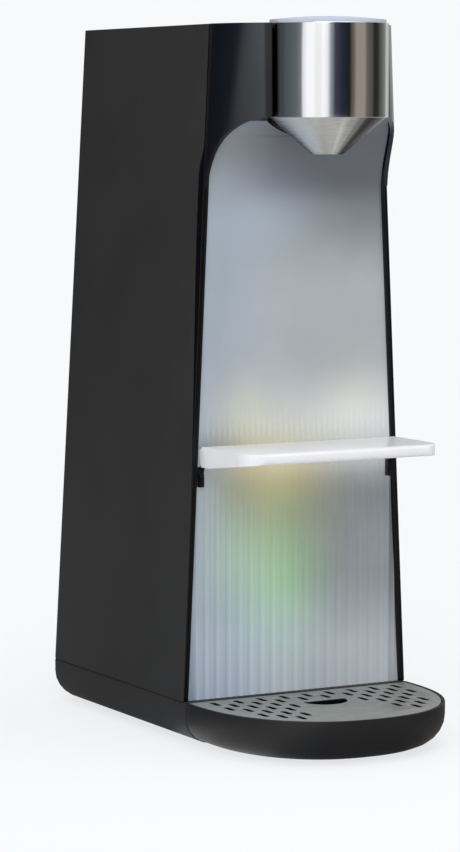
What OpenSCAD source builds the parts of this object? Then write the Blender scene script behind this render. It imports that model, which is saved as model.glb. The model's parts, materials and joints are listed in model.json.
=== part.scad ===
// Countertop soda carbonator with a pull-out drip tray, a fold-up cup shelf,
// a push button on the head, a lift-out water tank and a rear door for the gas cylinder.
// +X is the right-hand side seen from the front, the front faces -Y, +Z is up.
// The origin is on the worktop, at the middle of the bounding box. Units are millimetres.

/* [Body] */
// Height of the housing above the worktop
body_h = 415; // [411:1:418]
// Width of the housing at the seam above the base
base_w = 150; // [148:1:154]
// Width of the housing at its top
top_w = 114; // [114:1:118]
// Depth of the housing at the seam above the base
depth_low = 178; // [176:1:182]
// Depth of the housing at its top
depth_high = 168; // [167:1:172]
// Radius of the two rear vertical corners
back_r = 9; // [7:0.5:9]
// Thickness of the side covers
wall = 2; // [1.8:0.1:2.2]

/* [Base and drip tray] */
// Height of the seam between the base and the housing
base_h = 26; // [25:0.5:27]
// Reach of the drip tray in front of the housing
tray_reach = 98; // [92:1:104]
// Exponent of the rounded front of the tray, 2 is an ellipse
tray_curve = 2.28; // [2:0.02:2.6]
// Radius of the rounded lower edge
edge_r = 17; // [15:0.5:18]
// Height of the rubber feet below the base
foot_h = 1; // [1:0.1:2]

/* [Drip plate] */
// Sideways pitch of the slots
slot_pitch = 7.6; // [7:0.1:9]
// Front to back pitch of one column of slots
slot_row = 17; // [16:0.5:20]
// Length of a slot
slot_l = 11; // [9:0.5:13]
// Width of a slot
slot_w = 3.6; // [3:0.1:4]

/* [Head] */
// Reach of the glossy head in front of the housing
head_reach = 45.4; // [44:0.2:47]
// Radius of the cove under the head
cove_r = 50; // [48:1:52]
// Height at which the cove starts
cove_z = 316; // [310:1:318]
// Height of the underside of the head
head_z = 362; // [360:0.5:363]
// Outer radius of the metal sleeve
sleeve_r = 34.5; // [34:0.1:35]
// Distance of the sleeve's axis in front of the housing
sleeve_reach = 35; // [34:0.5:36]
// Height of the button's crown above the sleeve
cap_h = 4; // [3:0.5:5]
// Travel of the button
button_travel = 2.5; // [1.5:0.1:3]

/* [Nozzle] */
// Height of the lower end of the cone
cone_z = 341; // [339:0.5:343]
// Radius of the lower end of the cone
cone_r = 9; // [8.5:0.1:10]

/* [Cup shelf] */
// Height of the shelf's top
shelf_z = 174; // [168:1:180]
// Reach of the shelf in front of the housing
shelf_reach = 59; // [50:1:62]
// Thickness of the shelf at its root
shelf_root = 12; // [11:0.5:13]
// Thickness of the shelf at its tip
shelf_tip = 6.5; // [5:0.5:8]
// Width of the shelf
shelf_w = 129; // [126:0.5:129.6]
// Radius of the shelf's front corners, seen from above
shelf_corner = 14; // [8:1:20]

/* [Panel] */
// Pitch of the vertical flutes
flute_pitch = 3.7; // [3.4:0.1:4.2]
// Depth of a flute
flute_d = 0.5; // [0.3:0.05:0.6]
// Height at which the flutes have faded out
flute_top = 202; // [196:1:210]

/* [Gas cylinder] */
// Diameter of the gas cylinder
gas_d = 60; // [58:0.5:60]
// Length of the gas cylinder with its valve
gas_l = 358; // [350:1:358]

/* [Water tank] */
// Width of the tank
tank_w = 34.5; // [30:0.5:34.5]
// Depth of the tank
tank_d = 112; // [100:1:112]
// Height of the seat that the tank stands on
tank_seat = 58; // [56:1:64]

/* [Hidden] */
front_y = tray_reach - (depth_low + tray_reach) / 2;   // front plane of the housing
back_y = front_y + depth_low;                          // rear plane at the seam
seam_y = front_y - 2;                                  // seam between base and drip tray
rise = body_h - base_h;
lean = atan((depth_low - depth_high) / rise);          // lean of the rear face
rear_l = sqrt(pow(rise, 2) + pow(depth_low - depth_high, 2));
straight = 10;                                         // straight part of the tray's sides
groove = 0.6;                                          // shadow groove at the seam
floor_z = foot_h + 4;                                  // inside of the base
lip = 1.4;                                             // visible width of a front leg
panel_y = front_y + 2;                                 // face of the front panels
panel_t = 2;
leg_back = front_y + 6;
sleeve_y = front_y - sleeve_reach;
sleeve_in = sleeve_r - 1.1;
head_wall = 2.5;
cove_y = front_y - cove_r;
chassis_y = front_y + 9;                               // front of the chassis plate
chassis_t = 2.5;
chassis_back = chassis_y + chassis_t;
deck_z = body_h - 10;
pivot_y = front_y - 4.9;                               // axis of the cup shelf
pivot_z = shelf_z - 4.5;
arm_angle = -62.5;                                     // direction of the bracket's arm, from +Y
arm_x0 = shelf_w / 2 - 2.6;                            // arm of a bracket, inside a slot of the shelf
arm_x1 = shelf_w / 2 - 0.9;
rear_t = 2.5;
rear_w = 94;                                           // width of the rear cover
door_t = 4;
door_x0 = -17.5;                                       // hinge axis of the rear door
door_x1 = 46.8;
door_v0 = 14.4;
door_v1 = 373.6;
gas_x = 15.5;
gas_y = 90;
gas_z = 28;
vessel_x = 22;
vessel_y = 14;
vessel_r = 29;
vessel_z0 = 135;
vessel_z1 = 330;
tank_x = -50.5;
tank_y = 8;
tank_top = body_h - 3;
lid_pin_y = tank_y + tank_d - 1.5;
lid_pin_z = body_h - 2.4;
spout_x = tank_x + tank_w / 2;
spout_y = 40;
head_mid = 386;                                        // deck that guides the button
stem_z = head_mid - 3;                                 // lower end of the button's stem
peg_z = head_mid + 9.7 + button_travel;                // lower end of the peg over the switch
pipe_z = 372;                                          // height of the outlet pipe
rim = 2;                                               // rim of the tray around its plate
plate_t = 2;
grip_r = 14;                                           // finger opening in the drip plate
grip_y = front_y - 32;
eps = 0.01;
$fn = 64;

matte_grey = [0.19, 0.19, 0.20];
base_grey = [0.16, 0.16, 0.17];
gloss_black = [0.04, 0.04, 0.05];
silver = [0.66, 0.69, 0.73];
steel = [0.75, 0.76, 0.78];
white = [0.93, 0.93, 0.95];
pale_blue = [0.78, 0.83, 0.90];
rubber = [0.10, 0.10, 0.10];
brass = [0.75, 0.62, 0.32];
board_green = [0.10, 0.35, 0.20];
clear_hose = [0.80, 0.85, 0.88];

// ---------------------------------------------------------------- outlines

// Half width of the housing at a height.
function half_w(z) = base_w / 2 - (base_w - top_w) / 2 * (z - base_h) / rise;

// Rear plane of the housing at a height.
function rear_y(z) = back_y - (depth_low - depth_high) * (z - base_h) / rise;

// Points of an arc.
function arc(c, r, a0, a1, n) =
    [for (i = [0:n]) let (a = a0 + (a1 - a0) * i / n) [c.x + r * cos(a), c.y + r * sin(a)]];

// Lifts a flat outline to a height.
function at_z(z, outline) = [for (p = outline) [p.x, p.y, z]];

// Outline with a straight front and two rounded rear corners.
function block_outline(w, y0, y1, r) = concat(
    [[-w, y0], [w, y0]],
    arc([w - r, y1 - r], r, 0, 90, 6),
    arc([-w + r, y1 - r], r, 90, 180, 6));

// Outline of the housing at a height, moved in by an inset.
function column_ring(z, inset = 0, y0 = front_y) = at_z(z,
    block_outline(half_w(z) - inset, y0, rear_y(z) - inset, back_r - inset));

// Outline of the base, whose sides are upright.
function pan_ring(z, inset) = at_z(z,
    block_outline(base_w / 2 - inset, seam_y, back_y - inset, max(back_r - inset / 2, 2)));

// Rounded front of the drip tray, moved in by an inset, closed by a straight rear edge.
function tray_outline(inset, y_rear = seam_y, steps = 44) = concat(
    [[-base_w / 2 + inset, y_rear]],
    [for (i = [0:steps])
        let (a = 180 * i / steps, c = cos(a), s = sin(a))
        [-(base_w / 2 - inset) * sign(c) * pow(abs(c), 2 / tray_curve),
         front_y - straight - (tray_reach - straight - inset) * pow(abs(s), 2 / tray_curve)]],
    [[base_w / 2 - inset, y_rear]]);

// Outline of the head at a height: half an ellipse in front of the housing.
function head_outline(z, inset = 0, y_rear = front_y, steps = 40) = concat(
    [[-half_w(z) + inset, y_rear]],
    [for (i = [0:steps])
        [-(half_w(z) - inset) * cos(180 * i / steps),
         front_y - (head_reach - inset) * sin(180 * i / steps)]],
    [[half_w(z) - inset, y_rear]]);

// Solid through a stack of outlines that all have the same number of points.
module loft(rings) {
    n = len(rings[0]);
    m = len(rings);
    polyhedron(
        points = [for (ring = rings) each ring],
        faces = concat(
            [[for (i = [0:n - 1]) i]],
            [for (k = [0:m - 2], i = [0:n - 1])
                let (j = (i + 1) % n) [k * n + i, (k + 1) * n + i, (k + 1) * n + j]],
            [for (k = [0:m - 2], i = [0:n - 1])
                let (j = (i + 1) % n) [k * n + i, (k + 1) * n + j, k * n + j]],
            [[for (i = [n - 1:-1:0]) (m - 1) * n + i]]));
}

// Flat shape drawn in X and Z, as seen from the front, that fills y0 to y1.
module front_slab(y0, y1) {
    translate([0, y1, 0]) rotate([90, 0, 0]) linear_extrude(y1 - y0) children();
}

// Flat shape drawn in Y and Z, as seen from the right, that fills x0 to x1.
module side_slab(x0, x1) {
    translate([x0, 0, 0]) rotate([90, 0, 90]) linear_extrude(x1 - x0) children();
}

// Cylinder along X or Y.
module bar_x(r, x0, x1) translate([x0, 0, 0]) rotate([0, 90, 0]) cylinder(r = r, h = x1 - x0);
module bar_y(r, y0, y1) translate([0, y0, 0]) rotate([-90, 0, 0]) cylinder(r = r, h = y1 - y0);

// Box given by its two corners.
module box(a, b) translate(a) cube(b - a);

// Rectangle with round corners from its two corners.
module round_rect(a, b, r) {
    translate([a.x + r, a.y]) square([b.x - a.x - 2 * r, b.y - a.y]);
    translate([a.x, a.y + r]) square([b.x - a.x, b.y - a.y - 2 * r]);
    for (x = [a.x + r, b.x - r], y = [a.y + r, b.y - r]) translate([x, y]) circle(r);
}

// Panel shape between the front legs, as seen from the front.
module panel_shape(z0, z1, margin) {
    polygon([[-half_w(z0) + margin, z0], [half_w(z0) - margin, z0],
             [half_w(z1) - margin, z1], [-half_w(z1) + margin, z1]]);
}

// Frame of the leaning rear face: x sideways, y out of the face, z up along it.
module rear_frame() translate([0, back_y, base_h]) rotate([lean, 0, 0]) children();

// Smooth curve through hand-placed points.
function spline(p, steps) = [
    for (i = [0:len(p) - 2], k = [0:steps - 1])
        let (a = p[max(i - 1, 0)], b = p[i], c = p[i + 1],
             d = p[min(i + 2, len(p) - 1)], t = k / steps)
        0.5 * (2 * b + (c - a) * t + (2 * a - 5 * b + 4 * c - d) * t * t
            + (3 * b - a - 3 * c + d) * t * t * t),
    p[len(p) - 1]];

function unit(v) = v / norm(v);

// Round tube swept along a curve; "ref" is a direction that the curve never takes.
module sweep(path, r, ref, sides = 10) {
    last = len(path) - 1;
    loft([for (i = [0:last])
        let (t = unit(path[min(i + 1, last)] - path[max(i - 1, 0)]),
             u = unit(cross(ref, t)), v = cross(t, u))
        [for (k = [0:sides - 1])
            path[i] + r * (cos(360 * k / sides) * u + sin(360 * k / sides) * v)]]);
}

// ---------------------------------------------------------------- base

foot_places = [[-46, 108], [46, 108], [-24, -94], [24, -94]];
screw_places = [[-57, -20], [57, -20], [-57, 100], [57, 100]];

// Moulded pan under the housing, with a tongue that runs under the drip tray.
module base_pan() {
    color(base_grey) difference() {
        union() {
            loft(concat(
                [for (b = [90:-15:0])
                    pan_ring(foot_h + edge_r * (1 - sin(b)), edge_r * (1 - cos(b)))],
                [pan_ring(base_h - groove, 0)]));
            loft([pan_ring(base_h - groove, groove), pan_ring(base_h, groove)]);
            translate([0, 0, foot_h]) linear_extrude(4) polygon(tray_outline(edge_r + 5, seam_y + 1));
        }
        difference() {
            loft([at_z(floor_z, block_outline(base_w / 2 - 10.5, leg_back, back_y - 10.5, 4)),
                  at_z(floor_z + 8, block_outline(base_w / 2 - 3, leg_back, back_y - 3, 7)),
                  at_z(base_h + 1, block_outline(base_w / 2 - 3, leg_back, back_y - 3, 7))]);
            for (p = screw_places)
                translate([p.x, p.y, floor_z - 1]) cylinder(r = 4.5, h = 15);
        }
        for (p = foot_places) translate([p.x, p.y, foot_h - 1]) cylinder(r = 9, h = 2);
        for (p = screw_places) {
            translate([p.x, p.y, foot_h - 1]) cylinder(r = 3.4, h = 3);
            translate([p.x, p.y, foot_h - 1]) cylinder(r = 1.6, h = 14);
        }
    }
}

module rubber_feet() {
    color(rubber) for (p = foot_places)
        translate([p.x, p.y, 0]) difference() {
            union() {
                cylinder(r1 = 8, r2 = 9, h = 1);
                translate([0, 0, 1]) cylinder(r = 9, h = foot_h);
            }
            translate([0, 0, -1]) cylinder(r = 3, h = 1.6);
        }
}

// Cross-head screws that hold the base to the housing.
module base_screws() {
    color(steel) for (p = screw_places)
        translate([p.x, p.y, foot_h + 0.4]) difference() {
            union() {
                cylinder(r = 3.2, h = 1.6);
                cylinder(r = 1.5, h = 12);
            }
            for (a = [0, 90]) rotate([0, 0, a]) translate([-1.8, -0.4, -1]) cube([3.6, 0.8, 1.8]);
        }
}

// ---------------------------------------------------------------- housing

// Thin outer wall of the housing without its front.
module housing_shell() {
    difference() {
        loft([column_ring(base_h), column_ring(body_h)]);
        loft([column_ring(base_h - 1, wall, front_y - 1), column_ring(body_h + 1, wall, front_y - 1)]);
    }
}

// Side cover with its rounded rear corner; side is -1 for the left one.
module side_cover(side) {
    edge = rear_w / 2 + 0.2;
    color(matte_grey) intersection() {
        housing_shell();
        box([side > 0 ? edge : -base_w, front_y - 1, 0], [side > 0 ? base_w : -edge, back_y + 1, body_h + 1]);
    }
}

module left_side_cover() side_cover(-1);
module right_side_cover() side_cover(1);

// Rear cover with air slots, the power inlet's opening and the frame of the door.
module rear_cover() {
    strip_x = -rear_w / 2;
    edge_x = door_x0 - 2.3;
    color(matte_grey) rear_frame() difference() {
        union() {
            box([strip_x, -rear_t, 0], [edge_x, 0, rear_l - 0.1]);
            box([strip_x, -rear_t, 0], [-strip_x, 0, door_v0 - 0.4]);
            box([strip_x, -rear_t, door_v1 + 0.4], [-strip_x, 0, rear_l - 0.1]);
            for (v = [door_v0 - 10.4, door_v1 + 0.4])
                box([door_x0 - 4, -5, v], [door_x0 + 4, -rear_t + eps, v + 10]);
            box([20, -6.5, door_v1 - 5], [40, -door_t - 0.2, door_v1 + 8]);
            box([20, -door_t - 0.2 - eps, door_v1 + 2], [40, -rear_t + eps, door_v1 + 8]);
        }
        for (i = [0:11])
            box([strip_x + 5, -rear_t - 1, 60 + 7 * i], [edge_x - 4, 1, 63 + 7 * i]);
        translate([-33.5, 0, 20]) box([-11, -rear_t - 1, -7], [11, 1, 7]);
        for (v = [door_v0 - 8, door_v1])
            translate([door_x0, -2, v]) cylinder(r = 1, h = 8.4);
    }
}

// Hinge pins of the rear door, one at each end.
module door_pins() {
    color(steel) rear_frame() for (v = [door_v0 - 7.6, door_v1 - 6])
        translate([door_x0, -2, v]) cylinder(r = 1, h = 13.6);
}

// Door over the gas cylinder, with a finger scoop and a hinge barrel.
module rear_door() {
    color(matte_grey) rear_frame() difference() {
        union() {
            box([door_x0, -door_t, door_v0], [door_x1, 0, door_v1]);
            translate([door_x0, -2, door_v0]) cylinder(r = 2, h = door_v1 - door_v0);
        }
        box([door_x0 + 6, -door_t - 1, door_v0 + 4], [door_x1 - 3, -rear_t, door_v1 - 10]);
        translate([door_x1 - 10, 12, 200]) sphere(r = 13.4);
        for (v = [door_v0 - 1, door_v1 - 6.4])
            translate([door_x0, -2, v]) cylinder(r = 1.05, h = 7.4);
    }
}

// Hollow of the cove, which cuts the arch out of the head.
module cove_space(r) {
    intersection() {
        translate([0, cove_y, cove_z]) bar_x(r, -base_w, base_w);
        box([-base_w, cove_y - r, cove_z - r], [base_w, cove_y + r, head_z]);
    }
}

// Glossy front frame: the bulging head, its arch and the two thin legs.
module front_frame() {
    z0 = cove_z + 6;
    color(gloss_black) {
        difference() {
            loft([at_z(z0, head_outline(z0)), at_z(body_h, head_outline(body_h))]);
            difference() {
                loft([at_z(z0 - 1, head_outline(z0 - 1, head_wall, front_y + 1)),
                      at_z(body_h + 1, head_outline(body_h + 1, head_wall, front_y + 1))]);
                box([-base_w, -200, 0], [base_w, front_y - 26, head_z + head_wall]);
            }
            cove_space(cove_r);
            translate([0, sleeve_y, 0]) cylinder(r = sleeve_r + 1.8, h = body_h + 1);
        }
        difference() {
            loft([for (z = [head_z + 1, tank_top]) let (w = half_w(z) - wall - 0.5)
                at_z(z, [[-w, front_y + 0.5], [w, front_y + 0.5], [w, front_y + 3.5], [-w, front_y + 3.5]])]);
            translate([0, 0, pipe_z]) bar_y(6, front_y - 1, front_y + 5);
        }
        for (side = [-1, 1]) {
            leg(side, wall, wall + lip, front_y, leg_back, base_h, tank_top);
            leg(side, wall + lip, wall + 8, panel_y + panel_t, leg_back, base_h, cove_z);
        }
    }
}

// Upright bar between two insets from the housing's side.
module leg(side, in0, in1, y0, y1, z0, z1) {
    function ring(z) = let (a = side * (half_w(z) - in0), b = side * (half_w(z) - in1))
        at_z(z, [[min(a, b), y0], [max(a, b), y0], [max(a, b), y1], [min(a, b), y1]]);
    loft([ring(z0), ring(z1)]);
}

// Flat top of the housing with the openings for the sleeve and for the tank's lid.
module top_cover() {
    w = half_w(body_h) - wall - 0.05;
    color(matte_grey) translate([0, 0, tank_top]) linear_extrude(body_h - tank_top) difference() {
        union() {
            polygon(head_outline(body_h, head_wall + 0.05, front_y));
            polygon(block_outline(w, front_y - eps, rear_y(body_h) - rear_t - 0.1, back_r - wall));
        }
        translate([0, sleeve_y]) circle(sleeve_r + 0.3);
        round_rect([tank_x - 1.5, tank_y - 2], [tank_x + tank_w + 1, tank_y + tank_d + 2], 3);
    }
}

// ---------------------------------------------------------------- front panels

// One row of shallow vertical flutes in front of the panel.
module flutes(z0, z1, fade) {
    r = (pow(flute_pitch / 2.2, 2) + pow(flute_d, 2)) / (2 * flute_d);
    count = floor(half_w(z0) / flute_pitch);
    for (i = [-count:count])
        translate([i * flute_pitch, panel_y + flute_d, z0 - 1])
            rotate([fade, 0, 0])
                translate([0, -r, 0]) cylinder(r = r, h = z1 - z0 + 2);
}

// Lower panel with flutes over its whole height.
module fluted_panel() {
    color(silver) difference() {
        front_slab(panel_y, panel_y + panel_t) panel_shape(base_h, shelf_z - 2, wall + lip);
        flutes(base_h, shelf_z - 2, 0);
    }
}

// Side profile of the upper panel: a flat sheet that curves forward under the head.
function cove_profile(z0) =
    let (c = [cove_y, cove_z], r = panel_y - cove_y, rise = head_z - cove_z)
    concat(
        [[panel_y + panel_t, z0], [panel_y, z0]],
        arc(c, r, 0, asin(rise / r), 24),
        arc(c, r + panel_t, asin(rise / (r + panel_t)), 0, 24));

// Upper panel: flutes that fade out, then a plain sheet that curves forward under the head.
module upper_panel() {
    z0 = shelf_z - 1.8;
    in0 = wall + lip;
    color(silver) difference() {
        intersection() {
            side_slab(-base_w, base_w) polygon(cove_profile(z0));
            loft([for (z = [z0 - 1, head_z + 1]) at_z(z, head_outline(z, in0, leg_back))]);
        }
        flutes(z0, flute_top, atan(flute_d / (flute_top - z0)));
        translate([0, sleeve_y, cone_z])
            cylinder(r1 = cone_r + 2.6, r2 = sleeve_r + 3, h = head_z - cone_z + eps);
    }
}

// Frosted sheet that spreads the light behind the fluted panel.
module light_diffuser() {
    color(white) front_slab(panel_y + panel_t, panel_y + panel_t + 1.5)
        panel_shape(base_h + 4, shelf_z - 16, wall + 8.2);
}

module light_board() {
    color(board_green) front_slab(chassis_y - 1.6, chassis_y)
        round_rect([-56, base_h + 8], [56, shelf_z - 22], 3);
}

// Rows of light-emitting diodes on the light board.
module leds() {
    color(white) for (x = [-45:18:45], z = [50:30:140])
        box([x - 1.75, chassis_y - 2.6, z - 1.75], [x + 1.75, chassis_y - 1.6, z + 1.75]);
}

// ---------------------------------------------------------------- chassis

// Upright plate behind the panels that carries the lamps, boards and clamps.
module chassis_plate() {
    foot = base_w / 2 - 11;
    color(steel) difference() {
        front_slab(chassis_y, chassis_back) difference() {
            union() {
                panel_shape(base_h + 1, deck_z, wall);
                translate([-foot, floor_z]) square([2 * foot, base_h + 1 - floor_z + eps]);
            }
            for (z = [190, 250]) round_rect([-14, z], [14, z + 40], 5);
            round_rect([-50, 40], [-30, 60], 5);
            translate([0, pipe_z]) circle(6);
        }
    }
}

// Level plate under the top cover that holds the regulator.
module top_deck() {
    color(steel) translate([0, 0, deck_z]) linear_extrude(3) difference() {
        round_rect([-13, chassis_y], [half_w(body_h) - wall - 1, 116], 4);
        round_rect([-2, -15], [34, 40], 6);
        translate([gas_x, gas_y]) circle(5);
    }
}

// ---------------------------------------------------------------- cup shelf

// Bracket beside a front leg: a lug, and an arm that ends in an eye round the pin.
module shelf_bracket(side) {
    x_lug = half_w(shelf_z - shelf_root) - wall - lip - 0.3;
    lug_y = front_y - 1.6;
    lug_top = shelf_z - shelf_root - 0.2;
    color(gloss_black) mirror([side < 0 ? 1 : 0, 0, 0]) difference() {
        union() {
            side_slab(arm_x0, x_lug) polygon([
                [panel_y, lug_top], [front_y + 1, lug_top], [lug_y, lug_top - 4.3],
                [lug_y, lug_top - 11.5], [panel_y, lug_top - 11.5]]);
            side_slab(arm_x0, arm_x1) translate([pivot_y, pivot_z]) {
                circle(2.7);
                rotate(arm_angle) translate([0, -1.6]) square([11.5, 3.2]);
            }
        }
        translate([0, pivot_y, pivot_z]) bar_x(1.2, arm_x0 - 1, arm_x1 + 1);
    }
}

module shelf_bracket_left() shelf_bracket(-1);
module shelf_bracket_right() shelf_bracket(1);

// Two pins on which the cup shelf turns.
module shelf_pins() {
    w = shelf_w / 2;
    color(steel) for (side = [0, 1]) mirror([side, 0, 0])
        translate([0, pivot_y, pivot_z]) bar_x(1.2, w - 8, arm_x1 + 0.2);
}

// Side profile of the shelf: a round nose, a flat top and a knuckle at the root.
function shelf_profile() =
    let (r = shelf_tip / 2, z_low = shelf_z - shelf_root)
    concat(
        arc([front_y - shelf_reach + r, shelf_z - r], r, 90, 270, 10),
        [[pivot_y - 6, z_low], [pivot_y + 2.5, z_low], [pivot_y + 3.5, z_low + 1.5]],
        arc([pivot_y, pivot_z], shelf_z - pivot_z, 0, 90, 8));

// Wedge-shaped shelf with rounded front corners that folds up on its pins.
module cup_shelf() {
    w = shelf_w / 2;
    y_tip = front_y - shelf_reach - eps;
    color(white) difference() {
        intersection() {
            side_slab(-w, w) polygon(shelf_profile());
            translate([0, 0, shelf_z - shelf_root - 1]) linear_extrude(shelf_root + 2)
                round_rect([-w - eps, y_tip], [w + eps, front_y + 30], shelf_corner);
        }
        for (side = [0, 1]) mirror([side, 0, 0]) {
            translate([0, pivot_y, pivot_z]) bar_x(1.25, w - 8.3, arm_x1);
            arm_slot();
        }
    }
}

// Slot for a bracket's arm, open at the back, wide enough for a quarter turn of the shelf.
module arm_slot() {
    half = 1.85;
    reach = 12;
    u0 = [cos(arm_angle), sin(arm_angle)];
    u1 = [-u0.y, u0.x];
    side_slab(arm_x0 - 0.3, arm_x1 + 0.3) translate([pivot_y, pivot_z]) {
        circle(3);
        polygon([-half * u1, reach * u0 - half * u1, reach * (u0 + u1),
                 reach * u1 - half * u0, -half * u0]);
    }
}

// ---------------------------------------------------------------- drip tray

// Pull-out tray: rounded wall, seat for the plate and a hollow underside over the tongue.
module drip_tray() {
    y_rear = seam_y - 0.3;
    z0 = foot_h + 0.5;
    color(base_grey) difference() {
        loft(concat(
            [for (b = [90:-15:0])
                at_z(z0 + edge_r * (1 - sin(b)), tray_outline(edge_r * (1 - cos(b)), y_rear))],
            [at_z(base_h, tray_outline(0, y_rear))]));
        loft([at_z(foot_h + 7, tray_outline(10, y_rear - 4)),
              at_z(foot_h + 11, tray_outline(rim + 3, y_rear - 3)),
              at_z(base_h + 1, tray_outline(rim + 2, y_rear - 2.5))]);
        translate([0, 0, base_h - plate_t - 0.3]) linear_extrude(plate_t + 1)
            polygon(tray_outline(rim, y_rear - 1));
        translate([0, 0, -1]) linear_extrude(foot_h + 5.3) polygon(tray_outline(edge_r + 4.5, y_rear + 1));
    }
}

// Perforated plate with staggered slots and a half-moon finger opening.
module drip_plate() {
    y0 = seam_y - 1.5;
    z0 = base_h - plate_t - 0.2;
    half = floor(base_w / 2 / slot_pitch);
    rows = ceil(tray_reach / slot_row);
    color(silver) difference() {
        translate([0, 0, z0]) linear_extrude(plate_t) polygon(tray_outline(rim + 0.25, y0));
        translate([0, 0, z0 - 1]) linear_extrude(plate_t + 2) {
            for (i = [-half:half], k = [0:rows]) {
                x = i * slot_pitch;
                y = y0 - 9.5 - (k + (i % 2 == 0 ? 0 : 0.5)) * slot_row;
                if (slot_fits(x, y)) plate_slot(x, y);
            }
            intersection() {
                translate([0, grip_y]) circle(grip_r);
                translate([-grip_r, grip_y - grip_r]) square([2 * grip_r, grip_r]);
            }
        }
    }
}

// A slot keeps clear of the plate's edge, of the finger opening and of the plain front.
function slot_fits(x, y) =
    let (u = abs(x) / (base_w / 2 - rim - 5.5),
         v = max(front_y - straight - y + slot_l / 2, 0) / (tray_reach - straight - rim - 4),
         plain = abs(x) < 30 && y < front_y - 46,
         grip = abs(x) < grip_r + 4 && y - slot_l / 2 < grip_y + 3)
    u < 1 && pow(u, tray_curve) + pow(v, tray_curve) < 1 && !plain && !grip;

module plate_slot(x, y) {
    r = slot_w / 2;
    h = slot_l / 2 - r;
    translate([x, y]) {
        square([slot_w, 2 * h], center = true);
        for (s = [-h, h]) translate([0, s]) circle(r, $fn = 20);
    }
}

// ---------------------------------------------------------------- head

// Polished metal sleeve around the button and the nozzle.
module head_sleeve() {
    color(steel) translate([0, sleeve_y, 0]) difference() {
        translate([0, 0, head_z - 0.2]) cylinder(r = sleeve_r, h = body_h - head_z + 0.2);
        translate([0, 0, head_z - 1]) cylinder(r = sleeve_in, h = body_h);
        box([-7, 0, pipe_z - 7], [7, sleeve_r + 1, pipe_z + 9]);
    }
}

// Hollow metal cone that closes the sleeve and narrows to the spout.
module nozzle_cone() {
    t = 1.4;
    color(steel) translate([0, sleeve_y, 0]) difference() {
        union() {
            translate([0, 0, cone_z]) cylinder(r1 = cone_r, r2 = sleeve_in, h = head_z - 0.2 - cone_z);
            translate([0, 0, head_z - 0.2]) cylinder(r = sleeve_in, h = 2.7);
        }
        translate([0, 0, cone_z + t])
            cylinder(r1 = cone_r - 1, r2 = sleeve_in - 2.4, h = head_z - 0.2 - cone_z - t);
        translate([0, 0, head_z - 0.2 - eps]) cylinder(r = sleeve_in - 2.4, h = 4);
        translate([0, 0, cone_z - 1]) cylinder(r = 7, h = 6);
    }
}

// Spout insert with its elbow for the outlet hose.
module nozzle_tip() {
    top = pipe_z + 5;
    color(gloss_black) translate([0, sleeve_y, 0]) difference() {
        union() {
            translate([0, 0, cone_z + 0.2]) cylinder(r = 7, h = top - cone_z - 0.2);
            translate([0, 0, pipe_z]) bar_y(4, 0, 20);
        }
        translate([0, 0, cone_z - 3]) cylinder(r = 3, h = pipe_z - cone_z + 3);
        translate([0, 0, pipe_z]) bar_y(2.4, 0, 21);
        for (a = [0:60:300]) rotate([0, 0, a])
            translate([4.6, 0, cone_z - 3]) cylinder(r = 0.6, h = 6, $fn = 16);
    }
}

// Ring and deck inside the sleeve that guide the button.
module head_core() {
    z0 = head_z + 2.5;
    color(gloss_black) translate([0, sleeve_y, 0]) difference() {
        union() {
            translate([0, 0, z0]) cylinder(r = sleeve_in, h = 400 - z0);
        }
        translate([0, 0, z0 - 1]) cylinder(r = 29, h = head_mid - 2 - z0);
        difference() {
            translate([0, 0, head_mid]) cylinder(r = 29, h = 20);
            cylinder(r = 9, h = head_mid + 8);
        }
        translate([0, 0, z0]) cylinder(r = 5.1, h = 60);
        box([-8, 0, z0 - 1], [8, sleeve_in + 1, pipe_z + 8]);
    }
}

// Small switch that the button presses.
module button_switch() {
    color(gloss_black) translate([18, sleeve_y, head_mid]) {
        box([-5, -4, 0], [5, 4, 8]);
        cylinder(r = 1.6, h = 9.5);
    }
}

// Domed push button: cap, skirt, guide stem and a peg for the switch.
module dispense_button() {
    r = sleeve_in - 0.25;
    crown = body_h + cap_h;
    edge = body_h + cap_h / 2;
    sag = crown - edge;
    dome_r = (r * r + sag * sag) / (2 * sag);
    color(pale_blue) translate([0, sleeve_y, 0]) {
        rotate_extrude($fn = 96) difference() {
            intersection() {
                translate([0, crown - dome_r]) circle(dome_r, $fn = 720);
                translate([0, edge - 10]) square([r, 20]);
            }
            translate([0, edge - 11]) square([r - 2, 10]);
        }
        translate([0, 0, stem_z]) cylinder(r = 5, h = edge - stem_z);
        translate([18, 0, peg_z]) cylinder(r = 2, h = edge - peg_z);
    }
}

// Return spring of the button, a coil round its stem.
module button_spring() {
    z0 = head_mid + 8.6;
    z1 = body_h - 0.4;
    turns = 7;
    steps = 14 * turns;
    path = [for (i = [0:steps])
        let (a = 360 * turns * i / steps)
        [7.2 * cos(a), sleeve_y + 7.2 * sin(a), z0 + (z1 - z0) * i / steps]];
    color(steel) sweep(path, 0.5, [0, 0, 1], 6);
}

// ---------------------------------------------------------------- water and gas

// Electric valve that opens the way to the spout.
module solenoid_valve() {
    color(gloss_black) {
        box([-11, chassis_back, pipe_z - 14], [11, chassis_back + 22, pipe_z + 8]);
        translate([0, chassis_back + 11, pipe_z + 8]) cylinder(r = 8, h = 18);
        translate([0, 0, pipe_z]) bar_y(4, chassis_y - 4, chassis_back + 1);
        translate([0, 0, pipe_z]) bar_y(4, chassis_back + 21, chassis_back + 30);
    }
}

// Hose from the valve forward to the spout.
module outlet_hose() {
    color(clear_hose) translate([0, 0, pipe_z]) bar_y(4, sleeve_y + 20, chassis_y - 4);
}

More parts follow.
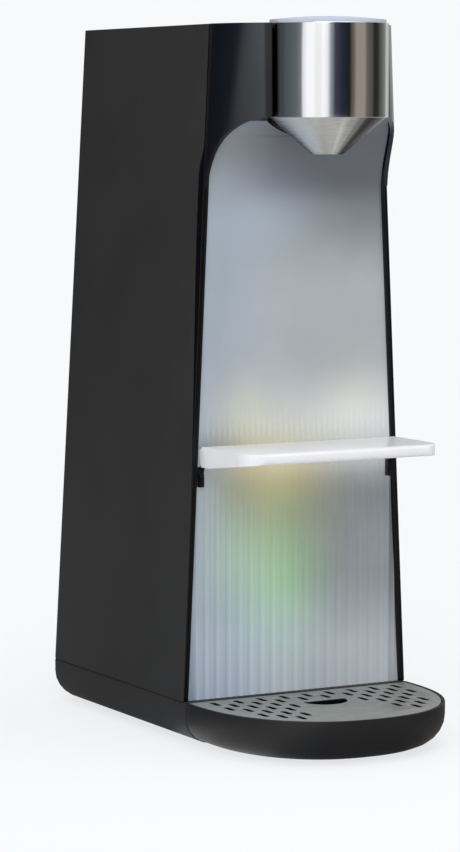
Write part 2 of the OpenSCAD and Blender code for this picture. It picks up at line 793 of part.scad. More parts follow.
// Hose from the chamber up to the valve.
module feed_hose() {
    end = chassis_back + 30;
    path = concat(
        [[14, 6, vessel_z1 + 2]],
        spline([[14, 6, vessel_z1 + 4], [14, 6, vessel_z1 + 14], [10, 10, 356],
                [3, 13, 368], [0, 9, pipe_z], [0, end + 2, pipe_z]], 5),
        [[0, end, pipe_z]]);
    color(clear_hose) sweep(path, 4, [1, 0, 0], 12);
}

// Pressure vessel in which water and gas mix.
module carbonation_chamber() {
    end = 16;
    color(steel) translate([vessel_x, vessel_y, 0]) {
        difference() {
            vessel_body(vessel_r, vessel_z0, vessel_z1, end);
            vessel_body(vessel_r - 1.5, vessel_z0 + 1.5, vessel_z1 - 1.5, end - 1);
        }
        translate([0, 0, (vessel_z0 + vessel_z1) / 2 - 2]) difference() {
            cylinder(r = vessel_r + 1.5, h = 4);
            translate([0, 0, -1]) cylinder(r = vessel_r - 1, h = 6);
        }
        translate([8, 0, vessel_z0 - 3]) cylinder(r = 4, h = 5);
        translate([-8, -8, vessel_z1 - 4]) cylinder(r = 4, h = 6);
        translate([8, 8, vessel_z1 - 4]) cylinder(r = 3, h = 6);
    }
}

// Round body with domed ends.
module vessel_body(r, z0, z1, end) {
    dome_r = (r * r + end * end) / (2 * end);
    sweep_angle = asin(r / dome_r);
    rotate_extrude() polygon(concat(
        arc([0, z0 + dome_r], dome_r, -90, -90 + sweep_angle, 10),
        arc([0, z1 - dome_r], dome_r, 90 - sweep_angle, 90, 10)));
}

// Two clamps that hold the vessel to the chassis plate.
module chamber_clamps() {
    color(steel) for (z = [vessel_z0 + 30, vessel_z1 - 45]) translate([0, 0, z]) difference() {
        union() {
            translate([vessel_x, vessel_y, 0]) cylinder(r = vessel_r + 2, h = 12);
            box([vessel_x - 12, chassis_back, 0], [vessel_x + 12, vessel_y - 20, 12]);
        }
        translate([vessel_x, vessel_y, -1]) cylinder(r = vessel_r, h = 14);
    }
}

// Valve that stops water from running back to the pump.
module check_valve() {
    color(brass) translate([vessel_x + 8, vessel_y, 0]) {
        translate([0, 0, 115]) cylinder(r = 3, h = 14);
        translate([0, 0, 118]) cylinder(r = 6, h = 8, $fn = 6);
    }
}

// Two short hoses below and above the check valve.
module riser_hoses() {
    color(clear_hose) translate([vessel_x + 8, vessel_y, 0]) {
        translate([0, 0, 111]) cylinder(r = 4, h = 4);
        translate([0, 0, 129]) cylinder(r = 4, h = 3);
    }
}

// Diaphragm pump head on top of its motor.
module water_pump() {
    color(gloss_black) translate([vessel_x, vessel_y, 0]) {
        translate([0, 0, 77]) linear_extrude(28) round_rect([-20, -20], [20, 20], 5);
        translate([0, 0, 105]) cylinder(r = 14, h = 3);
        translate([8, 0, 105]) cylinder(r = 3, h = 6);
        translate([0, 0, 92]) bar_x(3, -28, -19);
    }
}

module pump_motor() {
    color(steel) translate([vessel_x, vessel_y, 12]) cylinder(r = 18, h = 65);
}

// Rubber cradle under the pump's motor.
module pump_mount() {
    color(rubber) translate([vessel_x, vessel_y, floor_z]) difference() {
        cylinder(r = 21, h = 17);
        translate([0, 0, 7]) cylinder(r = 18, h = 12);
    }
}

// Hose from the tank socket to the pump.
module pump_hose() {
    path = concat(
        [[spout_x + 12, spout_y, 34]],
        spline([[spout_x + 14, spout_y, 34], [spout_x + 18, spout_y - 0.5, 35],
                [-12, 36, 43], [-12, 24, 70], [-11, 16, 89], [vessel_x - 30, vessel_y, 92]], 5),
        [[vessel_x - 28, vessel_y, 92]]);
    color(clear_hose) sweep(path, 3.5, [0.3, 1, 0], 10);
}

// Seat under the water tank with the cup that its spout plugs into.
module tank_socket() {
    x0 = tank_x - 1.5;
    x1 = tank_x + tank_w - 2.2;
    top = tank_seat - 0.15;
    color(base_grey) difference() {
        union() {
            difference() {
                translate([0, 0, floor_z]) linear_extrude(top - floor_z)
                    round_rect([x0, tank_y + 4], [x1, 104], 5);
                translate([0, 0, floor_z - 1]) linear_extrude(top - floor_z - 2)
                    round_rect([x0 + 2.5, tank_y + 6.5], [x1 - 2.5, 101.5], 3);
            }
            translate([spout_x, spout_y, 28]) cylinder(r = 11, h = top - 29);
            translate([spout_x, spout_y, 34]) bar_x(4, 0, 12);
        }
        translate([spout_x, spout_y, 44]) cylinder(r = 7.3, h = 20);
        translate([spout_x, spout_y, 49]) cylinder(r = 9.1, h = 2.2);
        translate([spout_x, spout_y, 32]) cylinder(r = 3, h = 20);
        translate([spout_x, spout_y, 34]) bar_x(2.2, 0, 13);
        translate([spout_x, spout_y, 34]) bar_x(4.05, 12, 40);
    }
}

// Sealing ring round the tank's spout.
module tank_seal() {
    color(rubber) translate([spout_x, spout_y, 50.1])
        rotate_extrude() translate([8.06, 0]) circle(1.03, $fn = 24);
}

// Clear tank, open at the top, with a spout below and ears for its lid.
module water_tank() {
    a = [tank_x, tank_y];
    b = [tank_x + tank_w, tank_y + tank_d];
    color(clear_hose) difference() {
        union() {
            translate([0, 0, tank_seat]) linear_extrude(tank_top - tank_seat) round_rect(a, b, 6);
            translate([spout_x, spout_y, tank_seat - 11]) cylinder(r = 7, h = 12);
            for (x = [tank_x + 2, tank_x + tank_w - 5])
                translate([0, lid_pin_y, lid_pin_z]) bar_x(2.3, x, x + 3);
        }
        difference() {
            translate([0, 0, tank_seat + 3]) linear_extrude(body_h) round_rect(a + [2, 2], b - [2, 2], 4);
            box([tank_x + 1, lid_pin_y - 3, tank_top - 8], [tank_x + 5, b.y, body_h]);
            box([b.x - 5, lid_pin_y - 3, tank_top - 8], [b.x - 1, b.y, body_h]);
        }
        box([tank_x + 5.2 - eps, lid_pin_y - 3.5, tank_top - 3.4], [b.x - 5.2, b.y + 1, body_h]);
        translate([spout_x, spout_y, tank_seat - 12]) cylinder(r = 4.5, h = 20);
        translate([0, lid_pin_y, lid_pin_z]) bar_x(0.9, tank_x + 1, tank_x + tank_w);
    }
}

// Poppet that closes the spout while the tank is out of the machine.
module tank_valve() {
    color(white) translate([spout_x, spout_y, 0]) {
        translate([0, 0, tank_seat - 10.5]) cylinder(r = 1.5, h = 14);
        translate([0, 0, tank_seat + 3]) cylinder(r = 6.5, h = 2);
        for (a = [0, 90]) rotate([0, 0, a]) box([-4.3, -0.6, tank_seat - 6], [4.3, 0.6, tank_seat + 3]);
    }
}

// Lid of the tank, flush with the top cover, with a finger notch at the front.
module tank_lid() {
    y0 = tank_y - 1.5;
    z0 = tank_top + 0.2;
    color(matte_grey) difference() {
        union() {
            translate([0, 0, z0]) linear_extrude(body_h - z0)
                round_rect([tank_x - 1, y0], [tank_x + tank_w + 0.5, lid_pin_y], 2.5);
            translate([0, lid_pin_y, lid_pin_z]) bar_x(2.4, tank_x + 5.4, tank_x + tank_w - 5.4);
            translate([0, 0, tank_top - 2.5]) linear_extrude(3) difference() {
                round_rect([tank_x + 2.3, tank_y + 2.3], [tank_x + tank_w - 2.3, lid_pin_y - 6], 3.5);
                round_rect([tank_x + 3.8, tank_y + 3.8], [tank_x + tank_w - 3.8, lid_pin_y - 7.5], 2.5);
            }
        }
        box([tank_x - 2, lid_pin_y - 3, z0 - 5], [tank_x + 5.2, lid_pin_y + 4, body_h + 1]);
        box([tank_x + tank_w - 5.2, lid_pin_y - 3, z0 - 5], [tank_x + tank_w + 2, lid_pin_y + 4, body_h + 1]);
        translate([spout_x, y0 - 3, z0 - 1]) cylinder(r = 9, h = 5);
        translate([0, lid_pin_y, lid_pin_z]) bar_x(0.95, tank_x, tank_x + tank_w);
    }
}

module tank_lid_pin() {
    color(steel) translate([0, lid_pin_y, lid_pin_z]) bar_x(0.9, tank_x + 2, tank_x + tank_w - 2);
}

// Aluminium gas cylinder with its round shoulder.
module co2_cylinder() {
    r = gas_d / 2;
    top = gas_z + gas_l - 30;
    module profile(g) {
        translate([0, gas_z + 6 + g]) square([r - g, top - gas_z - 36 - g]);
        translate([0, gas_z + g]) square([r - 6, 8]);
        translate([r - 6, gas_z + 6]) circle(6 - g);
        intersection() {
            translate([0, top - 30]) circle(r - g);
            translate([0, top - 30]) square([r, r]);
        }
    }
    color(steel) translate([gas_x, gas_y, 0]) rotate_extrude() difference() {
        union() {
            intersection() {
                profile(0);
                square([r, 500]);
            }
            translate([0, top - 8]) square([12.5, 14]);
        }
        intersection() {
            profile(3);
            translate([0, gas_z + 4]) square([r, 500]);
        }
        translate([0, top - 20]) square([8, 40]);
    }
}

// Brass valve screwed into the neck of the cylinder.
module cylinder_valve() {
    top = gas_z + gas_l - 30;
    color(brass) translate([gas_x, gas_y, 0]) {
        translate([0, 0, top - 8]) cylinder(r = 8, h = 14);
        translate([0, 0, top + 6]) cylinder(r = 12, h = 6, $fn = 6);
        translate([0, 0, top + 12]) cylinder(r = 9.8, h = 18);
    }
}

// Open cradle that the gas cylinder stands in.
module cylinder_cradle() {
    color(base_grey) translate([gas_x, gas_y, 0]) difference() {
        translate([0, 0, floor_z]) cylinder(r = 33, h = 45);
        translate([0, 0, gas_z]) cylinder(r = gas_d / 2, h = 50);
        translate([0, 0, floor_z - 1]) cylinder(r = 28, h = gas_z - floor_z - 3);
        box([-40, 6, gas_z], [40, 40, 60]);
    }
}

// Block that takes the cylinder's valve and lowers the pressure.
module regulator_block() {
    z0 = gas_z + gas_l - 8;
    color(brass) translate([gas_x, gas_y, 0]) difference() {
        union() {
            translate([0, 0, z0]) linear_extrude(deck_z - z0) round_rect([-19, -19], [19, 19], 3);
            translate([0, 0, z0 + 14]) bar_y(3, -27, -18);
        }
        translate([0, 0, z0 - 1]) cylinder(r = 9.8, h = 9);
        translate([0, 0, z0 + 14]) bar_y(1.5, -28, -10);
    }
}

module relief_valve() {
    z = gas_z + gas_l + 8;
    color(brass) translate([gas_x, gas_y, z]) {
        bar_x(4, 19, 24);
        bar_x(6, 24, 31);
    }
}

// Hose from the regulator to the vessel.
module gas_hose() {
    z = gas_z + gas_l + 6;
    path = concat(
        [[gas_x, gas_y - 27, z]],
        spline([[gas_x, gas_y - 29, z], [gas_x, gas_y - 35, z - 1], [20, 44, 384], [28, 28, 362],
                [vessel_x + 8, vessel_y + 8, 345], [vessel_x + 8, vessel_y + 8, vessel_z1 + 4]], 5),
        [[vessel_x + 8, vessel_y + 8, vessel_z1 + 2]]);
    color(gloss_black) sweep(path, 3, [1, 0, 0], 10);
}

// ---------------------------------------------------------------- electrics

board_y = chassis_back + 6;

// Circuit board on the chassis plate with a few large components.
module board(z0, z1) {
    color(board_green) front_slab(board_y, board_y + 1.6) round_rect([-52, z0], [-18, z1], 2);
}

module control_board() {
    board(210, 300);
    color(gloss_black) {
        box([-44, board_y + 1.6, 240], [-28, board_y + 4, 256]);
        box([-48, board_y + 1.6, 216], [-22, board_y + 9, 224]);
        box([-48, board_y + 1.6, 286], [-22, board_y + 9, 294]);
    }
}

module power_board() {
    board(80, 190);
    color(gloss_black) {
        box([-48, board_y + 1.6, 120], [-24, board_y + 22, 148]);
        box([-48, board_y + 1.6, 86], [-22, board_y + 9, 94]);
        for (x = [-42, -28]) translate([x, 0, 168]) bar_y(6, board_y + 1.6, board_y + 20);
    }
}

module board_standoffs() {
    color(brass) for (x = [-48, -22], z = [84, 186, 214, 296])
        translate([x, 0, z]) bar_y(2.2, chassis_back, board_y);
}

// Two-pin power inlet in the rear cover.
module power_inlet() {
    color(gloss_black) rear_frame() translate([-33.5, 0, 20]) difference() {
        union() {
            box([-11, -18, -7], [11, -eps, 7]);
            box([-13, -rear_t - 2, -9], [11.8, -rear_t, 9]);
        }
        translate([0, 1, 0]) rotate([90, 0, 0]) linear_extrude(13) difference() {
            round_rect([-8, -4], [8, 4], 3.9);
            for (x = [-4, 4]) translate([x, 0]) circle(1.2);
        }
    }
}

base_pan();
rubber_feet();
base_screws();
left_side_cover();
right_side_cover();
rear_cover();
front_frame();
top_cover();
upper_panel();
fluted_panel();
light_diffuser();
light_board();
leds();
chassis_plate();
top_deck();
shelf_bracket_left();
shelf_bracket_right();
shelf_pins();
head_sleeve();
nozzle_cone();
nozzle_tip();
head_core();
button_switch();
solenoid_valve();
outlet_hose();
feed_hose();
carbonation_chamber();
chamber_clamps();
check_valve();
riser_hoses();
water_pump();
pump_motor();
pump_mount();
pump_hose();
tank_socket();
tank_seal();
co2_cylinder();
cylinder_valve();
cylinder_cradle();
regulator_block();
relief_valve();
gas_hose();
control_board();
power_board();
board_standoffs();
power_inlet();
door_pins();
drip_tray();
drip_plate();
cup_shelf();
dispense_button();
button_spring();
water_tank();
tank_valve();
tank_lid();
tank_lid_pin();
rear_door();
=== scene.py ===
"""Looks of a countertop soda carbonator: its finishes, its finely made pieces, a studio and a camera."""
import json
import math

import bmesh
import bpy
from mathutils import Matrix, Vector


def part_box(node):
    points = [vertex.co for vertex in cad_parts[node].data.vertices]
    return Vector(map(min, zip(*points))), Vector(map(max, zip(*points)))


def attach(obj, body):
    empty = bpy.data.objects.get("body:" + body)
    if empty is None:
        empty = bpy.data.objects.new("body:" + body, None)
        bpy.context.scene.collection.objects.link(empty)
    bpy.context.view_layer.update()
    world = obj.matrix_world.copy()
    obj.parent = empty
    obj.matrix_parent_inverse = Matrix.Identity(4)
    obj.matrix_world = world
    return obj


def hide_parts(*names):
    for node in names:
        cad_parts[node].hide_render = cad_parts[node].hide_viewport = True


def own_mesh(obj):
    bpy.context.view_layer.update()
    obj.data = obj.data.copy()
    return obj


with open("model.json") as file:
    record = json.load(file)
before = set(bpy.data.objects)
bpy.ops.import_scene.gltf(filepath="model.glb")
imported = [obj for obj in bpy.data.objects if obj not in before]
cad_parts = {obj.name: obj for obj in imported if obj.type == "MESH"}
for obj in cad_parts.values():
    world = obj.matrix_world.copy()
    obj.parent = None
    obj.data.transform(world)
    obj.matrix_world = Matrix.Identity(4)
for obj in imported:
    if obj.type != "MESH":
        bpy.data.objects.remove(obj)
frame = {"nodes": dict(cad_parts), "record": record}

bl_info = {
    "name": "Soda Carbonator",
    "version": (1, 0, 0),
    "blender": (4, 5, 0),
    "location": "View3D > Sidebar > Carbonator",
    "description": "Dresses a countertop soda carbonator and lights it in a studio",
    "category": "Object",
}

MM = 0.001
DEGREES = 180.0 / math.pi
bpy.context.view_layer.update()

# Grain and clouds of moulded plastic
GRAIN_MM = 0.35
GRAIN_DEPTH_MM = 0.02
CLOUD_MM = 38.0
CLOUD_SHARE = 1.14

# Panels: the width of two flutes, which spaces the painted flute highlights, and the heights between which the shelf
# parts the painted light
FLUTE_PAIR_MM = 7.4
SHELF_MM = (172.0, 174.0)

# Colours that are no user's choice
# Bluish black painted on the coated head: a painted reflection of bluish light
PAINTED_REFLECTION_BLUE = (0.003, 0.009, 0.016, 1.0)
# Black painted inside the drip plate's holes: painted shade in the recesses
PAINTED_HOLE_SHADE = (0.004, 0.004, 0.004, 1.0)
DUST_GREY = (0.07, 0.07, 0.07, 1.0)
STEEL = (0.56, 0.57, 0.58)

# Shaping: what counts as one point, as a flat face and as a smooth edge, how finely a turned piece is cut, and how far
# below the sleeve the cone's edges have to be for their rounding to be seen
MERGE_MM = 0.002
FLAT_DEGREES = 0.3
SMOOTH_DEGREES = 35.0
TURNED_STEPS = 192
SEEN_BELOW_MM = 1.0

# Studio, in metres where the name says nothing else: the floor and what mirrors show of it, the ring of flats round
# the machine, the camera, and the lamps with their places, sizes and powers in watts
BACKDROP = (0.939, 0.947, 0.964, 1.0)
FLOOR_RADIUS = 6.0
FLOOR_NEAR_MM = 230.0
FLOOR_FAR_MM = 700.0
FLOOR_NEAR_SHARE = 0.78
FLOOR_MIRRORED = 0.8
RING_RADIUS = 1.5
RING_BOTTOM = -0.02
RING_TOP = 1.6
SENSOR_MM = 36.0
LAMP_AIM = (0.0, -0.02, 0.2)
CAMERA_AIM = (-0.0340, -0.0214, 0.1827)
LAMPS = {
    "key_light": ((-0.9, -1.3, 1.3), 0.9, 14.0),
    "top_light": ((0.2, -0.2, 1.7), 1.2, 10.0),
}


# ---------------------------------------------------------------- finishes

def opaque(colour, share=1.0):
    """Colour with full alpha, its channels times one share or times a share each."""
    shares = share if isinstance(share, tuple) else (share,) * 3
    return (*(min(channel * each, 1.0) for channel, each in zip(colour, shares)), 1.0)


class Wire:
    """An output socket of a finish that can be used in sums like a number."""

    def __init__(self, finish, socket):
        self.finish = finish
        self.socket = socket

    def _math(self, operation, *terms):
        return self.finish.node("ShaderNodeMath", {"operation": operation}, dict(enumerate(terms)))

    def __add__(self, other):
        return self._math("ADD", self, other)

    def __radd__(self, other):
        return self._math("ADD", other, self)

    def __sub__(self, other):
        return self._math("SUBTRACT", self, other)

    def __rsub__(self, other):
        return self._math("SUBTRACT", other, self)

    def __mul__(self, other):
        return self._math("MULTIPLY", self, other)

    def __rmul__(self, other):
        return self._math("MULTIPLY", other, self)

    def __truediv__(self, other):
        return self._math("DIVIDE", self, other)

    def __neg__(self):
        return self._math("MULTIPLY", self, -1.0)

    def absolute(self):
        return self._math("ABSOLUTE", self)

    def root(self):
        return self._math("SQRT", self)

    def sine(self):
        return self._math("SINE", self)

    def exponent(self):
        return self._math("EXPONENT", self)

    def at_most(self, limit):
        return self._math("MINIMUM", self, limit)

    def bearing(self, other):
        """Angle of the point whose sine is this and whose cosine is the other."""
        return self._math("ARCTAN2", self, other)

    def ramp(self, start, end, low=0.0, high=1.0):
        """Smooth step from low at start to high at end."""
        settings = {"interpolation_type": "SMOOTHSTEP"}
        return self.finish.node("ShaderNodeMapRange", settings, {0: self, 1: start, 2: end, 3: low, 4: high})


class Finish:
    """One material of the machine, built round a single shader."""

    def __init__(self, name, colour, roughness, metallic=0.0, constants=None):
        self.material = bpy.data.materials.new(name)
        self.material.use_nodes = True
        self.tree = self.material.node_tree
        self.tree.nodes.clear()
        self.output = self.tree.nodes.new("ShaderNodeOutputMaterial")
        self.shader = self.tree.nodes.new("ShaderNodeBsdfPrincipled")
        self.tree.links.new(self.shader.outputs[0], self.output.inputs["Surface"])
        self.material.diffuse_color = opaque(colour)
        self.set("Base Color", opaque(colour))
        self.set("Roughness", roughness)
        self.set("Metallic", metallic)
        for socket, value in (constants or {}).items():
            self.set(socket, value)
        self._place = None

    def set(self, socket, value):
        """Puts a constant or a wire on one of the shader's sockets."""
        if isinstance(value, Wire):
            self.tree.links.new(value.socket, self.shader.inputs[socket])
        else:
            self.shader.inputs[socket].default_value = value

    def node(self, kind, settings=None, inputs=None, output=0):
        """Adds a node with its settings and socket values and returns one of its outputs."""
        made = self.tree.nodes.new(kind)
        for name, value in (settings or {}).items():
            setattr(made, name, value)
        for socket, value in (inputs or {}).items():
            if isinstance(value, Wire):
                self.tree.links.new(value.socket, made.inputs[socket])
            else:
                made.inputs[socket].default_value = value
        return Wire(self, made.outputs[output])

    def place(self):
        """Sideways, front-to-back and height coordinates on the piece, in millimetres."""
        if self._place is None:
            point = self.node("ShaderNodeTexCoord", output="Object")
            parts = self.tree.nodes.new("ShaderNodeSeparateXYZ")
            self.tree.links.new(point.socket, parts.inputs[0])
            self._place = [Wire(self, parts.outputs[i]) * 1000.0 for i in range(3)]
        return self._place

    def noise(self, size, detail=2.0, stretch=(1.0, 1.0, 1.0)):
        """Cloudy pattern whose features are about size millimetres across."""
        point = self.node("ShaderNodeTexCoord", output="Object")
        scaled = self.node("ShaderNodeVectorMath", {"operation": "MULTIPLY"}, {0: point, 1: stretch})
        return self.node("ShaderNodeTexNoise", {}, {"Vector": scaled, "Scale": 1000.0 / size, "Detail": detail})

    def blend(self, share, first, second):
        """Colour between first and second."""
        inputs = {0: share, 6: first, 7: second}
        return self.node("ShaderNodeMix", {"data_type": "RGBA"}, inputs, output=2)

    def tint(self, colour, amount):
        """A colour times an amount that varies over the piece."""
        return self.node("ShaderNodeVectorMath", {"operation": "SCALE"}, {0: colour[:3], "Scale": amount})

    def total(self, *colours):
        """Sum of several colours."""
        result = colours[0]
        for colour in colours[1:]:
            result = self.node("ShaderNodeVectorMath", {"operation": "ADD"}, {0: result, 1: colour})
        return result

    def bump(self, height, depth_mm):
        """Relief that follows a height between 0 and 1."""
        inputs = {"Strength": 1.0, "Distance": depth_mm * MM, "Height": height}
        self.set("Normal", self.node("ShaderNodeBump", {}, inputs))


def eroded(finish, colour):
    """Fine grain, cloudy colour and uneven roughness of black moulded plastic, as three wires."""
    cloud = finish.noise(CLOUD_MM, 3.0)
    grain = finish.noise(GRAIN_MM, 1.0)
    shade = finish.blend(cloud.ramp(0.3, 0.7), opaque(colour), opaque(colour, CLOUD_SHARE))
    return grain, shade, (cloud - 0.5) * 0.10 + (grain - 0.5) * 0.06


def moulded_black(name, colour, roughness):
    """Black plastic with a fine eroded grain and faint cloudiness."""
    finish = Finish(name, colour, roughness, constants={"Specular IOR Level": 0.25})
    grain, shade, uneven = eroded(finish, colour)
    finish.set("Base Color", shade)
    finish.set("Roughness", uneven + roughness)
    finish.bump(grain, GRAIN_DEPTH_MM)
    return finish.material


def edged_black(name, colour, roughness, gloss, front_mm):
    """Satin black cover whose front edge is polished like the frame that it meets, widest below the head."""
    finish = Finish(name, colour, roughness, constants={"Specular IOR Level": 0.25})
    _, y, z = finish.place()
    grain, shade, uneven = eroded(finish, colour)
    width = z.ramp(130.0, 315.0, 0.3, 6.5) * z.ramp(350.0, 328.0, 0.2, 1.0)
    satin = (width - (y - front_mm)).ramp(-0.4, 0.4, 1.0, 0.0)
    finish.set("Base Color", finish.blend(satin, opaque(gloss, 0.5), shade))
    finish.set("Roughness", uneven + satin.ramp(0.0, 1.0, 0.2, roughness))
    finish.bump(grain * satin, GRAIN_DEPTH_MM)
    return finish.material


def polished_black(name, colour, sleeve):
    """High-gloss black moulding whose clear coat covers the head and ends short of the sleeve and the legs, with a
    painted bluish reflection tint in its colour where the coat is.

    The sleeve is given by its radius and the place of its axis from front to back, in millimetres.
    """
    finish = Finish(name, colour, 0.2, constants={"Specular IOR Level": 0.25, "Coat Roughness": 0.2})
    x, y, z = finish.place()
    wave = finish.noise(16.0, 1.0)
    smear = finish.noise(28.0, 4.0)
    finish.set("Roughness", smear.ramp(0.35, 0.75, 0.2, 0.28))
    radius, centre = sleeve
    beyond = (x * x + (y - centre) * (y - centre)).root() - radius
    # Where the coat is, the base colour takes the painted bluish reflection tint, which fades out to the left and near
    # the sleeve
    head = z.ramp(300.0, 345.0) * x.ramp(-60.0, -28.0, 0.12, 1.0) * beyond.ramp(4.0, 6.5)
    finish.set("Coat Weight", head.ramp(0.0, 1.0, 0.05, 1.0))
    finish.set("Base Color", finish.blend(head, opaque(colour), PAINTED_REFLECTION_BLUE))
    finish.bump(wave, 0.01)
    return finish.material


def glow(finish, centre, spread, level):
    """Soft round patch of light that is at its level in the middle, with places in millimetres."""
    x, _, z = finish.place()
    across = (x - centre[0]) / spread[0]
    along = (z - centre[1]) / spread[1]
    return (-(across * across + along * along)).exponent() * level


# Round patches of painted glow on the panels, in green and amber: their middles and reaches sideways and upwards, and
# their levels
PAINTED_GLOW_PATCHES = {
    "painted_green_glow": (
        ((-10.0, 92.0), (26.0, 36.0), 0.95),
        ((-46.0, 112.0), (18.0, 30.0), 0.3),
    ),
    "painted_amber_glow": (
        ((-12.0, 158.0), (34.0, 26.0), 0.9),
        ((-30.0, 118.0), (24.0, 26.0), 0.14),
        ((-34.0, 190.0), (20.0, 26.0), 0.6),
        ((40.0, 196.0), (22.0, 24.0), 0.35),
    ),
}


def silver_panel(name, looks):
    """Pale silver sheet with painted light as emission, painted coloured glow, painted reflections, painted light in
    the shelf's shadow and painted flute highlights, and with painted shade under the head in its colour.
    """
    finish = Finish(name, looks.panel, 0.34, constants={"Specular IOR Level": 0.5})
    x, _, z = finish.place()
    cloud = finish.noise(30.0, 2.0)
    mottled = finish.blend(cloud.ramp(0.35, 0.65), opaque(looks.panel), opaque(looks.panel, 0.93))
    # Yellowed base colour in a round patch on the lower panel: painted light, the cast of the painted glow
    painted_warm_cast = glow(finish, (-14.0, 122.0), (34.0, 44.0), 1.0)
    warm_cast_base = finish.blend(painted_warm_cast, mottled, opaque(looks.panel, (1.0, 1.0, 0.62)))
    # Darker, purplish base colour at the top, under the head, from the middle rightwards: painted shade under the head
    # and the cone
    painted_shade_under_head = z.ramp(306.0, 328.0) * x.ramp(-50.0, -10.0)
    finish.set("Base Color", finish.blend(painted_shade_under_head, warm_cast_base, opaque(looks.panel, (0.63, 0.59, 0.66))))
    finish.set("Roughness", 0.30 + (cloud - 0.5) * 0.08)
    above = z.ramp(*SHELF_MM)
    below = 1.0 - above
    # Left side of the panels made lighter, up to below the head: painted reflection
    left = x.ramp(5.0, -45.0) * z.ramp(352.0, 300.0) * (0.85 - glow(finish, (-34.0, 148.0), (24.0, 28.0), 0.45))
    # Lighter towards the bottom middle: painted light
    foot = z.ramp(98.0, 48.0) * (1.0 - (x / 95.0).absolute())
    # Cool emission made of these and of a patch just below the head: all painted light
    cool_painted_light = finish.tint(looks.painted_cool_light, left + foot * 0.6 + glow(finish, (-8.0, 304.0), (26.0, 20.0), 0.55))
    # Pale emission: painted light high on the upper panel, a painted reflection of the white shelf just above it,
    # painted light filling the shelf's shadow just below it, and painted light low on the lower panel
    pale_painted_light = finish.tint(looks.painted_pale_light,
                       above * (x.ramp(-50.0, 0.0) * z.ramp(312.0, 262.0) * 0.68
                                + x.ramp(-60.0, 60.0, 0.15, 1.15) * z.ramp(224.0, 180.0))
                       + below * (x.ramp(-45.0, 0.0) * z.ramp(95.0, 45.0, 0.26, 0.5)
                                  + x.ramp(-25.0, 60.0) * z.ramp(138.0, 166.0) * 0.75
                                  + x.ramp(-55.0, 0.0, 0.1, 1.0) * z.ramp(149.0, 162.0) * 0.4
                                  + x.ramp(10.0, 60.0) * z.ramp(80.0, 35.0) * 0.25))
    # Green and amber painted glow from the patches
    patches = [finish.tint(getattr(looks, colour), sum(glow(finish, *patch) for patch in rows))
               for colour, rows in PAINTED_GLOW_PATCHES.items()]
    # Orange painted glow just under the shelf
    orange_painted_glow = finish.tint(looks.painted_orange_glow, below * glow(finish, (-18.0, 166.0), (36.0, 15.0), 1.0))
    # Light and dark stripes at the flutes' pitch, strongest low and on the left: painted highlights on the flutes
    painted_flute_stripes = (x * (math.tau / FLUTE_PAIR_MM)).sine() * z.ramp(160.0, 40.0) * x.ramp(60.0, -40.0, 0.35, 1.0)
    flutes = finish.tint(looks.painted_pale_light, painted_flute_stripes * 0.13)
    finish.set("Emission Color", finish.total(cool_painted_light, pale_painted_light, *patches, orange_painted_glow, flutes))
    finish.set("Emission Strength", 1.0)
    return finish.material


def polished_metal(name, colour):
    """Mirror-bright plated metal with hair-fine polishing marks."""
    finish = Finish(name, colour, 0.09, 1.0)
    marks = finish.noise(0.6, 2.0, (1.0, 1.0, 0.05))
    finish.set("Roughness", marks.ramp(0.3, 0.8, 0.06, 0.13))
    finish.bump(marks, 0.002)
    return finish.material


# Painted reflection on the cone, light and dark bands put into its colour round its axis: the two bearings between
# which the metal changes, in degrees, and its new level
PAINTED_REFLECTION_FAN = (
    (-135.0, -110.0, 0.4),
    (-105.0, -82.0, 1.65),
    (-60.0, -35.0, 1.0),
    (-20.0, -8.0, 1.8),
    (-2.0, 6.0, 0.9),
    (7.0, 13.0, 0.2),
    (13.0, 18.0, 0.01),
    (38.0, 47.0, 0.5),
    (48.0, 60.0, 1.4),
    (75.0, 98.0, 0.9),
)


def turned_metal(name, colour, axis_y_mm):
    """Metal brushed in rings round an upright axis, with a painted reflection: a fan of light and dark painted into
    its colour by bearing.
    """
    finish = Finish(name, colour, 0.3, 1.0)
    x, y, z = finish.place()
    forward = y - axis_y_mm
    rings = finish.node("ShaderNodeTexNoise", {"noise_dimensions": "1D"},
                        {"W": (x * x + forward * forward).root() + z * 0.6, "Scale": 3.2, "Detail": 3.0})
    bearing = x.bearing(-forward) * DEGREES
    # Painted reflection: the base colour is made lighter and darker by bearing, fixed to the cone
    shade = opaque(colour, 0.6)
    for start, end, level in PAINTED_REFLECTION_FAN:
        shade = finish.blend(bearing.ramp(start, end), shade, opaque(colour, level))
    finish.set("Base Color", shade)
    finish.set("Roughness", rings.ramp(0.25, 0.75, 0.2, 0.3))
    finish.bump(rings, 0.01)
    return finish.material


def plain_metal(name, colour, roughness, grain=(1.0, 1.0, 0.06)):
    """Rolled or drawn metal with a grain along its length."""
    finish = Finish(name, colour, roughness, 1.0)
    lines = finish.noise(1.2, 3.0, grain)
    finish.set("Roughness", lines.ramp(0.25, 0.75, roughness - 0.06, roughness + 0.08))
    finish.bump(lines, 0.006)
    return finish.material


def glossy_plastic(name, colour, roughness, wave_mm=9.0, coat=0.25, shine=0.5):
    """Smooth moulded plastic with slight waviness and handling marks."""
    finish = Finish(name, colour, roughness, constants={
        "Coat Weight": coat, "Coat Roughness": 0.08, "Specular IOR Level": shine})
    wave = finish.noise(wave_mm, 2.0)
    finish.set("Base Color", finish.blend(wave.ramp(0.3, 0.7), opaque(colour), opaque(colour, 0.97)))
    finish.set("Roughness", wave.ramp(0.3, 0.75, roughness - 0.03, roughness + 0.06))
    finish.bump(wave, 0.01)
    return finish.material


